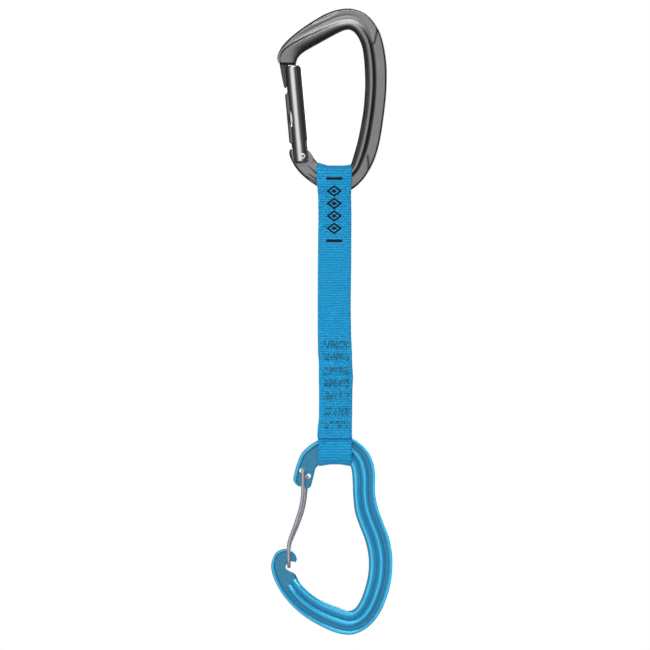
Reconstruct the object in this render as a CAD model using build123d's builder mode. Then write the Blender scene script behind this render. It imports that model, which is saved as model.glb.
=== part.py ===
"""Climbing quickdraw: a solid-gate carabiner and a wire-gate carabiner joined by a sewn webbing sling.

Millimetres, +Z up, the draw hanging as in use. Both carabiners lie in the XZ plane and the
gates open towards +X. The origin is the seat of the upper carabiner, where a bolt hanger bears.
"""

import os
from math import atan2, cos, degrees, hypot, radians, sin

from build123d import *

os.makedirs("parts", exist_ok=True)

# Upper carabiner: forged aluminium bar, from the nose round the spine to the hinge.
UPPER_DEPTH = 9.0
UPPER_FLANGE_DEPTH = 7.0
UPPER_RIDGE = (0.04, 0.52)
UPPER_ROUND = 1.6
UPPER_FLANGE_ROUND = 1.6

# Each station is a pair: a point on the outer edge, then the point across the bar on the inner edge.
UPPER_STATIONS = [
    ((-38.6, -18.0), (-28.5, -18.2)),
    ((-39.1, -14.6), (-27.4, -15.4)),
    ((-36.6, -9.2), (-24.6, -12.5)),
    ((-30.9, -3.3), (-20.4, -9.9)),
    ((-22.6, 2.9), (-14.4, -6.6)),
    ((-13.2, 8.5), (-8.0, -3.1)),
    ((-5.4, 11.2), (-2.6, -0.5)),
    ((2.0, 11.6), (1.0, -0.1)),
    ((9.3, 9.0), (4.1, -2.4)),
    ((14.9, 3.3), (6.6, -6.8)),
    ((18.6, -4.6), (8.0, -12.0)),
    ((21.0, -17.5), (8.9, -21.0)),
    ((21.2, -31.9), (9.1, -32.0)),
    ((19.9, -45.5), (8.1, -44.8)),
    ((17.5, -61.2), (5.6, -58.8)),
    ((14.1, -72.5), (3.0, -68.6)),
    ((8.7, -81.8), (0.9, -74.6)),
    ((1.6, -88.0), (-2.2, -78.6)),
    ((-6.3, -89.7), (-6.2, -79.8)),
    ((-13.0, -88.2), (-10.5, -77.9)),
    ((-19.3, -84.7), (-14.5, -75.1)),
    ((-25.2, -80.1), (-18.1, -71.5)),
]
UPPER_HINGE_OUTER = [(-25.2, -80.1), (-29.0, -75.8), (-31.6, -71.2), (-32.6, -67.6), (-31.9, -65.6)]
UPPER_HINGE_INNER = [(-18.1, -71.5), (-19.6, -69.2), (-21.1, -67.2)]

# Nose tongue of the upper carabiner, a central plate that the gate's slot closes on.
NOSE_TONGUE = [(-38.4, -17.0), (-35.7, -30.6), (-34.3, -32.0), (-33.6, -30.4), (-33.3, -17.0)]
NOSE_TONGUE_THICKNESS = 2.8

# Solid gate: a barrel that turns on a rivet and leans outwards at its top.
PIVOT = (-25.1, -69.6)
GATE_LEAN = 5.25
GATE_RADIUS = 4.45
GATE_AXIS_X = -1.1
GATE_TOP = 50.0
GATE_FOOT = -3.7
GATE_FOOT_RADIUS = 5.5
GATE_EDGE = 0.5
RIDGE_LOW = 7.4
RIDGE_HIGH = 35.4
RIDGE_REACH = -6.6
RIDGE_WIDTH = 4.2
POCKET_CENTRE = 21.2
POCKET_LENGTH = 10.0
POCKET_WIDTH = 2.2
POCKET_DEPTH = 3.0
NOSE_SLOT_WIDTH = 3.4
NOSE_SLOT_FLOOR = -3.2
NOSE_SLOT_LENGTH = 14.2
HINGE_TONGUE_THICKNESS = 3.4
HINGE_TONGUE_TOP = 3.4
HINGE_TONGUE_REACH = 3.2
FORK_WIDTH = 3.8
FORK_TOP = 5.0
HINGE_RECESS = 5.8
RIVET_RADIUS = 1.6
RIVET_LENGTH = 8.9
RIVET_CLEARANCE = 0.05
BORE_X = 1.0
BORE_RADIUS = 1.5
BORE_TOP = 24.0
PLUNGER_RADIUS = 1.4
PLUNGER_TOP = 13.5
PLUNGER_GAP = 0.05
SPRING_WIRE = 0.22
SPRING_RADIUS = 1.1
SPRING_TURNS = 9

# Sling: one strip of nylon webbing, folded into two eyes and sewn to itself with bar tacks.
SLING_X = -7.55
WEBBING_WIDTH = 18.3
WEBBING_THICKNESS = 2.0
EYE_WIDTH = 14.6
UPPER_EYE_Z = -82.2
UPPER_EYE_RADIUS = 8.1
LOWER_EYE_Z = -230.9
LOWER_EYE_RADIUS = 8.8
EYE_WALL = 1.8
UPPER_NECK_Z = -112.0
LOWER_NECK_Z = -214.0
LOWER_CAVITY_Z = -219.0
UPPER_TAPER_Z = (-90.0, -104.0)
LOWER_TAPER_Z = (-222.0, -210.0)
SLING_SPLIT_Z = -152.0
SPLIT_GAP = 0.3
TAIL_TOP_Z = -167.8
TACK_Z = [-173.0, -179.9, -187.6, -194.2, -201.3, -209.6, -217.3]
TACK_LENGTH = 13.2
TACK_HEIGHT = 4.4
TACK_THREAD = 0.45
TACK_X = -6.5

# Lower carabiner: an I-beam section, a web with three ribs standing from it on each face. A rib
# is two shares of the bar's width and the rounding of its edges.
LOWER_WEB = 4.8
LOWER_DEPTH = 8.0
LOWER_RIBS = [(0.02, 0.34, 1.3), (0.38, 0.66, 1.3), (0.8, 0.98, 0.8)]
LOWER_STATIONS = [
    ((-23.0, -229.9), (-16.3, -239.4)),
    ((-17.8, -226.2), (-13.6, -237.9)),
    ((-11.8, -223.7), (-10.4, -237.0)),
    ((-5.6, -222.9), (-6.6, -236.7)),
    ((0.2, -223.7), (-2.8, -237.1)),
    ((5.6, -226.3), (-0.5, -238.0)),
    ((10.6, -231.0), (1.1, -240.0)),
    ((13.8, -237.2), (1.9, -243.4)),
    ((15.1, -244.6), (2.3, -248.4)),
    ((15.0, -253.8), (2.6, -256.4)),
    ((16.4, -261.8), (3.6, -265.2)),
    ((19.3, -270.1), (6.2, -273.0)),
    ((22.4, -278.3), (8.8, -279.7)),
    ((24.1, -286.0), (10.6, -286.7)),
    ((24.6, -293.4), (11.2, -293.4)),
    ((23.8, -302.8), (10.6, -300.9)),
    ((21.4, -311.6), (8.7, -308.3)),
    ((17.2, -320.9), (6.4, -314.2)),
    ((10.8, -328.4), (3.6, -318.1)),
    ((2.5, -332.4), (0.3, -319.5)),
    ((-6.5, -331.6), (-4.4, -317.8)),
    ((-16.6, -327.2), (-10.4, -315.6)),
    ((-24.4, -322.4), (-15.6, -313.0)),
    ((-30.9, -316.8), (-20.4, -309.7)),
    ((-36.3, -310.4), (-24.7, -305.8)),
]
HINGE_TAB = [
    (-23.0, -229.9), (-26.9, -234.9), (-28.9, -240.4), (-30.4, -246.8), (-29.3, -249.8), (-26.7, -250.9),
]
HINGE_TAB_INNER = [
    (-16.3, -239.4), (-18.0, -241.9), (-19.0, -245.8), (-20.2, -250.2), (-21.6, -251.9), (-23.6, -251.7),
]
NOSE_OUTER = [
    (-36.3, -310.4), (-40.2, -303.6), (-42.3, -297.0), (-42.0, -291.8), (-39.6, -287.2), (-35.4, -285.5),
    (-31.4, -286.1), (-28.9, -288.8), (-28.2, -291.6), (-28.8, -292.9),
]
NOSE_NOTCH = [
    (-28.8, -292.9), (-31.4, -292.2), (-33.6, -293.3), (-34.5, -295.2), (-33.6, -297.0), (-30.2, -298.4),
]
NOSE_INNER = [(-30.2, -298.4), (-28.6, -300.4), (-26.9, -303.3), (-24.7, -305.8)]

# Wire gate: one stainless wire bent to a U, its two ends turned into the hinge tab.
WIRE_RADIUS = 1.05
WIRE_LEG_Y = 3.75
WIRE_FRONT_HOLE = (-25.0, -241.7)
WIRE_REAR_HOLE = (-22.7, -246.0)
WIRE_HINGE = (-23.85, -243.85)
WIRE_HOLE_CLEARANCE = 0.08
WIRE_TRAVEL = 26.0
WIRE_BODY = [(-25.0, -251.6), (-26.4, -263.0), (-31.9, -279.6), (-32.9, -286.4), (-32.7, -294.9)]
WIRE_BENDS = [14.0, 14.0, 12.0, 10.0]
WIRE_CORNER = 1.6
WIRE_U_RADIUS = 2.4


def outer_edge(stations):
    """The outer points of a run of stations."""
    return [outer for outer, inner in stations]


def inner_edge(stations):
    """The inner points of a run of stations."""
    return [inner for outer, inner in stations]


def across(stations, share):
    """The points a share of the way from the inner edge, 0, to the outer edge, 1."""
    return [
        (inner[0] + (outer[0] - inner[0]) * share, inner[1] + (outer[1] - inner[1]) * share)
        for outer, inner in stations
    ]


def band(stations, low, high):
    """A flat band of the bar's face, between two shares of its width."""
    with BuildSketch(Plane.XZ) as strip:
        with BuildLine():
            near = Spline(*across(stations, low))
            far = Spline(*across(stations, high))
            Line(near @ 0, far @ 0)
            Line(near @ 1, far @ 1)
        make_face()
    return strip.sketch


def teardrop(plane, centre_z, radius, neck_z, neck_half):
    """A round eye that narrows in straight tangents to the strap's neck."""
    with BuildSketch(plane) as drop:
        with BuildLine():
            CenterArc((0, centre_z), radius, 0, 360)
            Line((-neck_half, neck_z), (neck_half, neck_z))
        make_hull()
    return drop.sketch


lean = radians(GATE_LEAN)
pivot_point = (PIVOT[0], 0, PIVOT[1])
inward = (cos(lean), 0, sin(lean))
upward = (-sin(lean), 0, cos(lean))
gate_cross = Plane(origin=pivot_point, x_dir=inward, z_dir=upward)
gate_side = Plane(origin=pivot_point, x_dir=inward, z_dir=(0, -1, 0))


def gate_point(x, z):
    """A point of the gate's side view, as X and Z of the whole part."""
    place = gate_side.from_local_coords((x, z))
    return (place.X, place.Z)


# Inner ridge of the upper bar, deeper than the flange outside it and rounded along both edges.
with BuildPart() as upper_ridge:
    extrude(band(UPPER_STATIONS, *UPPER_RIDGE), amount=UPPER_DEPTH / 2, both=True)
    ridge_faces = upper_ridge.faces().sort_by(Axis.Y)
    fillet(ridge_faces[0].edges() + ridge_faces[-1].edges(), UPPER_ROUND)


# Upper body: a flange along the outside and the ridge along the inside. A thin tongue stands
# down from the nose and another one stands up at the hinge, where both faces are recessed for
# the gate's fork.
with BuildPart() as upper_body:
    with BuildSketch(Plane.XZ) as bar_outline:
        with BuildLine():
            outside = Spline(*outer_edge(UPPER_STATIONS), *UPPER_HINGE_OUTER[1:])
            inside = Spline(*inner_edge(UPPER_STATIONS), *UPPER_HINGE_INNER[1:])
            Line(outside @ 0, inside @ 0)
            Polyline(
                outside @ 1,
                gate_point(-HINGE_TONGUE_REACH, HINGE_TONGUE_TOP),
                gate_point(HINGE_TONGUE_REACH, HINGE_TONGUE_TOP),
                inside @ 1,
            )
        make_face()
    extrude(amount=UPPER_FLANGE_DEPTH / 2, both=True)
    for flange_face in (upper_body.faces().sort_by(Axis.Y)[0], upper_body.faces().sort_by(Axis.Y)[-1]):
        fillet(flange_face.edges().sort_by(SortBy.LENGTH)[-2:], UPPER_FLANGE_ROUND)
    add(upper_ridge.part)
    with BuildSketch(gate_side) as fork_room:
        Circle(HINGE_RECESS)
        with Locations((0, HINGE_RECESS)):
            Rectangle(2 * HINGE_RECESS, 2 * HINGE_RECESS)
    recess_depth = UPPER_DEPTH / 2 - HINGE_TONGUE_THICKNESS / 2
    for side in (-1, 1):
        with BuildSketch(gate_side.offset(side * UPPER_DEPTH / 2)) as fork_recess:
            add(fork_room.sketch_local)
        extrude(amount=-side * recess_depth, mode=Mode.SUBTRACT)
    with BuildSketch(Plane.XZ) as nose_tongue:
        with BuildLine():
            Polyline(*NOSE_TONGUE, close=True)
        make_face()
    extrude(amount=NOSE_TONGUE_THICKNESS / 2, both=True)
    with Locations(gate_side):
        Hole(RIVET_RADIUS + RIVET_CLEARANCE, depth=UPPER_DEPTH)
upper_body.part.label = "upper_body"
export_step(upper_body.part, "parts/upper_body.step")


# Gate barrel: a round bar with a flat-topped ridge outside, slotted at its top for the nose
# tongue, forked at its foot over the hinge tongue, and bored for the closing spring.
with BuildPart() as upper_gate:
    with BuildSketch(gate_cross.offset(GATE_FOOT)):
        with Locations((GATE_AXIS_X, 0)):
            Circle(GATE_RADIUS)
    extrude(amount=GATE_TOP - GATE_FOOT)
    chamfer(upper_gate.edges().sort_by(Axis.Z)[-1], GATE_EDGE)
    with BuildSketch(gate_side) as ridge_side:
        with Locations(((RIDGE_REACH + GATE_AXIS_X) / 2, (RIDGE_LOW + RIDGE_HIGH) / 2)):
            Rectangle(GATE_AXIS_X - RIDGE_REACH, RIDGE_HIGH - RIDGE_LOW)
        chamfer(ridge_side.vertices().group_by(Axis.X)[0], 1.0)
    extrude(amount=RIDGE_WIDTH / 2, both=True)
    with BuildSketch(Plane(origin=gate_side.from_local_coords((RIDGE_REACH, POCKET_CENTRE)), x_dir=upward,
                           z_dir=(-cos(lean), 0, -sin(lean)))):
        SlotOverall(POCKET_LENGTH, POCKET_WIDTH)
    extrude(amount=-POCKET_DEPTH, mode=Mode.SUBTRACT)
    with BuildSketch(gate_side) as nose_slot:
        slot_middle = (NOSE_SLOT_FLOOR - GATE_RADIUS, GATE_TOP - NOSE_SLOT_LENGTH / 2)
        with Locations(slot_middle):
            Rectangle(2 * GATE_RADIUS, NOSE_SLOT_LENGTH)
    extrude(amount=NOSE_SLOT_WIDTH / 2, both=True, mode=Mode.SUBTRACT)
    with BuildSketch(gate_side) as fork_slot:
        with Locations((0, (FORK_TOP + 2 * GATE_FOOT) / 2)):
            Rectangle(4 * GATE_RADIUS, FORK_TOP - 2 * GATE_FOOT)
    extrude(amount=FORK_WIDTH / 2, both=True, mode=Mode.SUBTRACT)
    with BuildSketch(gate_side) as foot_round:
        with Locations((0, GATE_FOOT)):
            Rectangle(4 * GATE_RADIUS, -2 * GATE_FOOT)
        Circle(GATE_FOOT_RADIUS, mode=Mode.SUBTRACT)
    extrude(amount=UPPER_DEPTH, both=True, mode=Mode.SUBTRACT)
    with Locations(gate_side):
        Hole(RIVET_RADIUS, depth=UPPER_DEPTH)
    with BuildSketch(gate_cross.offset(FORK_TOP)):
        with Locations((BORE_X, 0)):
            Circle(BORE_RADIUS)
    extrude(amount=BORE_TOP - FORK_TOP, mode=Mode.SUBTRACT)
upper_gate.part.label = "upper_gate"
export_step(upper_gate.part, "parts/upper_gate.step")


# Rivet: held in the fork's two cheeks, and it turns in the hinge tongue.
with BuildPart() as upper_gate_rivet:
    with BuildSketch(gate_side):
        Circle(RIVET_RADIUS)
    extrude(amount=RIVET_LENGTH / 2, both=True)
    chamfer(upper_gate_rivet.edges().filter_by(GeomType.CIRCLE), 0.25)
upper_gate_rivet.part.label = "upper_gate_rivet"
export_step(upper_gate_rivet.part, "parts/upper_gate_rivet.step")


# Plunger: slides in the bore and bears on the hinge tongue, on the inner side of the rivet.
with BuildPart() as upper_gate_plunger:
    with BuildSketch(gate_cross.offset(HINGE_TONGUE_TOP + PLUNGER_GAP)):
        with Locations((BORE_X, 0)):
            Circle(PLUNGER_RADIUS)
    extrude(amount=PLUNGER_TOP - HINGE_TONGUE_TOP - PLUNGER_GAP)
    chamfer(upper_gate_plunger.edges().filter_by(GeomType.CIRCLE), 0.3)
upper_gate_plunger.part.label = "upper_gate_plunger"
export_step(upper_gate_plunger.part, "parts/upper_gate_plunger.step")


# Closing spring: a coil between the plunger and the end of the bore.
with BuildPart() as upper_gate_spring:
    spring_low = PLUNGER_TOP + 2 * SPRING_WIRE
    spring_height = BORE_TOP - spring_low - 2 * SPRING_WIRE
    with BuildLine():
        coil = Helix(
            pitch=spring_height / SPRING_TURNS,
            height=spring_height,
            radius=SPRING_RADIUS,
            center=gate_cross.from_local_coords((BORE_X, 0, spring_low)),
            direction=upward,
        )
    with BuildSketch(Plane(origin=coil @ 0, z_dir=coil % 0)):
        Circle(SPRING_WIRE)
    sweep(is_frenet=True)
upper_gate_spring.part.label = "upper_gate_spring"
export_step(upper_gate_spring.part, "parts/upper_gate_spring.step")


sling_plane = Plane.YZ.offset(SLING_X)
strap_half = 1.5 * WEBBING_THICKNESS
core_half = WEBBING_THICKNESS / 2
strap_top = SLING_SPLIT_Z - SPLIT_GAP


def strap_front(end_z, taper_z, eye_z):
    """The strap seen from the front: full width, then a taper to the narrower eye."""
    full = WEBBING_WIDTH / 2
    cupped = EYE_WIDTH / 2
    edge = [(full, end_z), (full, taper_z[1]), (cupped, taper_z[0]), (cupped, eye_z)]
    with BuildSketch(Plane.XZ) as front:
        with BuildLine():
            right = [(SLING_X + across_x, z) for across_x, z in edge]
            left = [(SLING_X - across_x, z) for across_x, z in reversed(edge)]
            Polyline(*right, *left, close=True)
        make_face()
    return front.sketch


def sewn_profile(plane, grow):
    """The side view of the sewn strap and its lower eye, filled, and grown on every side."""
    with BuildSketch(plane) as profile:
        eye_radius = LOWER_EYE_RADIUS + EYE_WALL + grow
        add(teardrop(Plane.XY, LOWER_EYE_Z, eye_radius, LOWER_NECK_Z, strap_half + grow))
        with Locations((0, (LOWER_NECK_Z + strap_top) / 2)):
            Rectangle(2 * (strap_half + grow), strap_top - LOWER_NECK_Z)
    return profile.sketch


# Upper part of the sling: the open eye over the basket of the upper carabiner. The webbing
# cups where it turns round the bar, so it is narrower there.
with BuildPart() as sling_upper:
    with BuildSketch(sling_plane) as upper_layers:
        add(teardrop(Plane.XY, UPPER_EYE_Z, UPPER_EYE_RADIUS + EYE_WALL, UPPER_NECK_Z, strap_half))
        with Locations((0, (UPPER_NECK_Z + SLING_SPLIT_Z) / 2)):
            Rectangle(2 * strap_half, UPPER_NECK_Z - SLING_SPLIT_Z)
            Rectangle(2 * core_half, UPPER_NECK_Z - SLING_SPLIT_Z, mode=Mode.SUBTRACT)
        add(
            teardrop(Plane.XY, UPPER_EYE_Z, UPPER_EYE_RADIUS, UPPER_NECK_Z, core_half),
            mode=Mode.SUBTRACT,
        )
    extrude(amount=WEBBING_WIDTH / 2, both=True)
    extrude(
        strap_front(SLING_SPLIT_Z, UPPER_TAPER_Z, UPPER_EYE_Z + 2 * UPPER_EYE_RADIUS),
        amount=2 * UPPER_EYE_RADIUS,
        both=True,
        mode=Mode.INTERSECT,
    )
sling_upper.part.label = "sling_upper"
export_step(sling_upper.part, "parts/sling_upper.step")


# Lower part of the sling: both layers sewn over the strip's tail, then the snug eye that holds
# the lower carabiner.
with BuildPart() as sling_lower:
    with BuildSketch(sling_plane) as lower_layers:
        add(sewn_profile(Plane.XY, 0))
        with Locations((0, (TAIL_TOP_Z + strap_top) / 2)):
            Rectangle(2 * core_half, strap_top - TAIL_TOP_Z, mode=Mode.SUBTRACT)
        add(
            teardrop(Plane.XY, LOWER_EYE_Z, LOWER_EYE_RADIUS, LOWER_CAVITY_Z, core_half),
            mode=Mode.SUBTRACT,
        )
    extrude(amount=WEBBING_WIDTH / 2, both=True)
    extrude(
        strap_front(strap_top, LOWER_TAPER_Z, LOWER_EYE_Z - 2 * LOWER_EYE_RADIUS),
        amount=2 * LOWER_EYE_RADIUS,
        both=True,
        mode=Mode.INTERSECT,
    )
sling_lower.part.label = "sling_lower"
export_step(sling_lower.part, "parts/sling_lower.step")


# Bar tacks: seven dense rows of thread, each standing from the front and the back face.
for number, tack_z in enumerate(TACK_Z, start=1):
    tack_name = f"bar_tack_{number}"
    with BuildPart() as bar_tack:
        extrude(sewn_profile(sling_plane, TACK_THREAD), amount=WEBBING_WIDTH / 2, both=True)
        with BuildSketch(Plane.XZ):
            with Locations((TACK_X, tack_z)):
                RectangleRounded(TACK_LENGTH, TACK_HEIGHT, 1.0)
        extrude(amount=2 * LOWER_EYE_RADIUS, both=True, mode=Mode.INTERSECT)
        extrude(sewn_profile(sling_plane, 0), amount=WEBBING_WIDTH / 2, both=True, mode=Mode.SUBTRACT)
    bar_tack.part.label = tack_name
    export_step(bar_tack.part, f"parts/{tack_name}.step")


def wire_travel_arc(hole):
    """The short arc that a leg's end follows about the gate's hinge axis."""
    across_x = hole[0] - WIRE_HINGE[0]
    across_z = hole[1] - WIRE_HINGE[1]
    start_angle = degrees(atan2(across_z, across_x))
    return CenterArc(WIRE_HINGE, hypot(across_x, across_z), start_angle, WIRE_TRAVEL)


wire_travel_arcs = [wire_travel_arc(WIRE_FRONT_HOLE), wire_travel_arc(WIRE_REAR_HOLE)]

# Ribs of the lower bar: an inner, a middle and an outer one, each with rounded edges.
with BuildPart() as lower_ribs:
    for low, high, edge_round in LOWER_RIBS:
        extrude(band(LOWER_STATIONS, low, high), amount=LOWER_DEPTH / 2, both=True)
        rib_faces = lower_ribs.faces(Select.LAST).filter_by(Axis.Y)
        fillet(rib_faces.edges(), edge_round)


# Lower body: the web's outline with the hooded nose and the hinge tab, and three ribs on each
# face that end before them. The wire's two holes are short arcs, because its legs flex.
with BuildPart() as lower_body:
    with BuildSketch(Plane.XZ) as web_outline:
        with BuildLine():
            tab_outer = Spline(*reversed(HINGE_TAB))
            back = Spline(*outer_edge(LOWER_STATIONS))
            nose_outer = Spline(*NOSE_OUTER)
            notch = Spline(*NOSE_NOTCH)
            nose_inner = Spline(*NOSE_INNER)
            basket = Spline(*reversed(inner_edge(LOWER_STATIONS)))
            tab_inner = Spline(*HINGE_TAB_INNER)
            Line(tab_inner @ 1, tab_outer @ 0)
        make_face()
    extrude(amount=LOWER_WEB / 2, both=True)
    add(lower_ribs.part)
    with BuildSketch(Plane.XZ) as wire_holes:
        for travel_arc in wire_travel_arcs:
            SlotArc(travel_arc, 2 * (WIRE_RADIUS + WIRE_HOLE_CLEARANCE))
    extrude(amount=LOWER_DEPTH, both=True, mode=Mode.SUBTRACT)
lower_body.part.label = "lower_body"
export_step(lower_body.part, "parts/lower_body.step")


# Wire gate: from the front hole down the front leg, round the U in the nose notch, and up the
# rear leg to the rear hole.
hole_reach = LOWER_WEB / 2
front_leg = [(x, -WIRE_LEG_Y, z) for x, z in [WIRE_FRONT_HOLE, *WIRE_BODY]]
rear_leg = [(x, WIRE_LEG_Y, z) for x, z in [WIRE_REAR_HOLE, *WIRE_BODY]]
wire_start = (WIRE_FRONT_HOLE[0], hole_reach, WIRE_FRONT_HOLE[1])
wire_end = (WIRE_REAR_HOLE[0], -hole_reach, WIRE_REAR_HOLE[1])
wire_points = [wire_start, *front_leg, *reversed(rear_leg), wire_end]
leg_radii = [WIRE_CORNER, *WIRE_BENDS, WIRE_U_RADIUS]
wire_radii = [*leg_radii, *reversed(leg_radii)]
with BuildPart() as wire_gate:
    with BuildLine() as wire_path:
        FilletPolyline(*wire_points, radius=wire_radii)
    with BuildSketch(Plane(origin=wire_start, z_dir=(0, -1, 0))):
        Circle(WIRE_RADIUS)
    sweep(path=wire_path.wire())
wire_gate.part.label = "wire_gate"
export_step(wire_gate.part, "parts/wire_gate.step")
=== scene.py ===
import math
import random

import bmesh
import bpy
from mathutils import Matrix, Vector


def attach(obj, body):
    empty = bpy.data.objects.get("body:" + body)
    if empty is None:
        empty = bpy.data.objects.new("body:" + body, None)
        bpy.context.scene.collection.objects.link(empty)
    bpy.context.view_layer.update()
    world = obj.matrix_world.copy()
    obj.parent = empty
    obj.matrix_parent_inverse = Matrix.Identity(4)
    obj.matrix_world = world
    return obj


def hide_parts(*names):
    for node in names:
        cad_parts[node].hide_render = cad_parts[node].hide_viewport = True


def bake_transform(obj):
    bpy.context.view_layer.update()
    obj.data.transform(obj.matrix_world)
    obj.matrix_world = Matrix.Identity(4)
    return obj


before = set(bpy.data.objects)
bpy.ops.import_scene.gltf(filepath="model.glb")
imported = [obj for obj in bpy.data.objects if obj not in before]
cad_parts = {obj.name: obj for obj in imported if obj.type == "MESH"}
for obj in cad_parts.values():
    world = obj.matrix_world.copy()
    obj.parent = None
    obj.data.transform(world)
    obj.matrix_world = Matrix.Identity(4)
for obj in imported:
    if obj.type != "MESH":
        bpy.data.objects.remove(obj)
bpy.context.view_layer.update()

random.seed(7)

# ---------------------------------------------------------------------------------------------
# Upper body: the bolt-end carabiner's bar, hot forged from aluminium rod, tumbled and anodised
# grey. Its section is a rounded ridge along the inside and a flatter flange outside it, with a
# sunk panel down the spine. It hangs from the bolt hanger, and all else hangs from it.
# ---------------------------------------------------------------------------------------------
MM = 0.001

UPPER_STATIONS = [
    ((-38.6, -18.0), (-28.5, -18.2)),
    ((-39.1, -14.6), (-27.4, -15.4)),
    ((-36.6, -9.2), (-24.6, -12.5)),
    ((-30.9, -3.3), (-20.4, -9.9)),
    ((-22.6, 2.9), (-14.4, -6.6)),
    ((-13.2, 8.5), (-8.0, -3.1)),
    ((-5.4, 11.2), (-2.6, -0.5)),
    ((2.0, 11.6), (1.0, -0.1)),
    ((9.3, 9.0), (4.1, -2.4)),
    ((14.9, 3.3), (6.6, -6.8)),
    ((18.6, -4.6), (8.0, -12.0)),
    ((21.0, -17.5), (8.9, -21.0)),
    ((21.2, -31.9), (9.1, -32.0)),
    ((19.9, -45.5), (8.1, -44.8)),
    ((17.5, -61.2), (5.6, -58.8)),
    ((14.1, -72.5), (3.0, -68.6)),
    ((8.7, -81.8), (0.9, -74.6)),
    ((1.6, -88.0), (-2.4, -77.0)),
    ((-6.3, -89.7), (-6.4, -77.8)),
    ((-13.0, -88.2), (-11.2, -76.9)),
    ((-19.3, -84.7), (-15.2, -74.4)),
    ((-25.2, -80.1), (-18.1, -71.5)),
    ((-29.0, -75.8), (-19.4, -69.6)),
    ((-31.6, -71.2), (-20.4, -68.2)),
    ((-32.6, -67.6), (-21.3, -67.0)),
    ((-31.9, -65.6), (-22.4, -66.2)),
]
# Where the crease between ridge and flange runs, as a share of the width, station by station.
UPPER_CREASE = [0.985, 0.97, 0.91, 0.8, 0.71, 0.67, 0.66, 0.66, 0.64, 0.62]
UPPER_CREASE += [0.6] * 8 + [0.62, 0.64] + [0.66] * 6
# Where the ridge is highest, as a share of the crease's place, by station.
CROWN = [(1.5, 0.84), (4.5, 0.56), (6.3, 0.38), (8.0, 0.44), (9.5, 0.55), (16.0, 0.55), (19.0, 0.6)]
UPPER_HALF_DEPTH = 4.5
FLANGE_HALF_DEPTH = 3.35
BAR_WIDTH = 12.0
EDGE_ROUND = 1.3
# The sunk panel of the spine: its depth, and the stations it lies between.
PANEL_SINK = 0.35
PANEL_START = 9.95
PANEL_END = 14.8
PANEL_STEP = 0.08
# The shallow valley between ridge and flange, along the top bar.
VALLEY_SINK = 0.25
VALLEY_SPREAD = 0.06
UPPER_STEPS = 13


def smooth_through(points, steps):
    """A Catmull-Rom curve through the points, with the given steps from each point to the next."""
    curve = []
    last = len(points) - 1
    for i in range(last):
        before, after = points[max(i - 1, 0)], points[min(i + 2, last)]
        for step in range(steps):
            t = step / steps
            curve.append([
                0.5 * (2 * b + (c - a) * t + (2 * a - 5 * b + 4 * c - d) * t * t
                       + (3 * b - a - 3 * c + d) * t ** 3)
                for a, b, c, d in zip(before, points[i], points[i + 1], after)
            ])
    curve.append(list(points[last]))
    return curve


def ramp(value, low, high):
    """0 below low, 1 above high, and a smooth rise between them."""
    t = min(max((value - low) / (high - low), 0), 1)
    return t * t * (3 - 2 * t)


def round_off(value, power=2.3):
    """The rise of a rounded shoulder, from 0 at value 0 to 1 at value 1 and beyond."""
    reach = 1 - min(max(value, 0), 1)
    return (1 - reach ** power) ** (1 / power)


def loft(rings):
    """A skin from ring to ring: each ring is extruded from the one before and moved to its place."""
    skin = bmesh.new()
    ring = [skin.verts.new(place) for place in rings[0]]
    count = len(ring)
    edges = [skin.edges.new((ring[i], ring[(i + 1) % count])) for i in range(count)]
    first_edges = list(edges)
    for places in rings[1:]:
        made = bmesh.ops.extrude_edge_only(skin, edges=edges)["geom"]
        fresh = {part for part in made if isinstance(part, bmesh.types.BMVert)}
        ring = [next(e.other_vert(v) for e in v.link_edges if e.other_vert(v) in fresh) for v in ring]
        for vert, place in zip(ring, places):
            vert.co = place
        edges = [skin.edges.get((ring[i], ring[(i + 1) % count])) for i in range(count)]
    bmesh.ops.holes_fill(skin, edges=first_edges + edges, sides=0)
    bmesh.ops.recalc_face_normals(skin, faces=skin.faces)
    return skin


def make_object(name, skin, crease_angle=40):
    """The mesh object of a finished skin, smooth except along edges sharper than the angle."""
    mesh = bpy.data.meshes.new(name)
    skin.to_mesh(mesh)
    skin.free()
    mesh.shade_smooth()
    mesh.set_sharp_from_angle(angle=math.radians(crease_angle))
    piece = bpy.data.objects.new(name, mesh)
    bpy.context.scene.collection.objects.link(piece)
    return piece


def cut_away(piece, cutter_skin):
    """Takes the cutter's solid out of the piece for good."""
    cutter = make_object("cutter", cutter_skin)
    cut = piece.modifiers.new("cut", "BOOLEAN")
    cut.operation = "DIFFERENCE"
    cut.solver = "EXACT"
    cut.object = cutter
    shape = bpy.data.meshes.new_from_object(piece.evaluated_get(bpy.context.evaluated_depsgraph_get()))
    piece.modifiers.remove(cut)
    piece.data = shape
    shape.set_sharp_from_angle(angle=math.radians(40))
    bpy.data.objects.remove(cutter)


def even_shading(piece):
    """Weights the normals by face size, so that long faces beside a cut shade evenly."""
    evened = piece.modifiers.new("even shading", "WEIGHTED_NORMAL")
    evened.keep_sharp = True


def plate(outline, thickness, edge_round, middle=0.0):
    """A flat plate in the XZ plane with rounded rims, from its outline in millimetres."""
    skin = bmesh.new()
    corners = [skin.verts.new((x * MM, (middle - thickness / 2) * MM, z * MM)) for x, z in outline]
    face = skin.faces.new(corners)
    pushed = bmesh.ops.extrude_face_region(skin, geom=[face])["geom"]
    raised = [part for part in pushed if isinstance(part, bmesh.types.BMVert)]
    bmesh.ops.translate(skin, verts=raised, vec=(0, thickness * MM, 0))
    bmesh.ops.recalc_face_normals(skin, faces=skin.faces)
    if edge_round:
        rims = [e for e in skin.edges if abs(e.verts[0].co.y - e.verts[1].co.y) < 1e-7]
        bmesh.ops.bevel(skin, geom=rims, offset=edge_round * MM, offset_type="OFFSET", affect="EDGES",
                        segments=4, profile=0.5, material=-1, clamp_overlap=True)
    return skin


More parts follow.
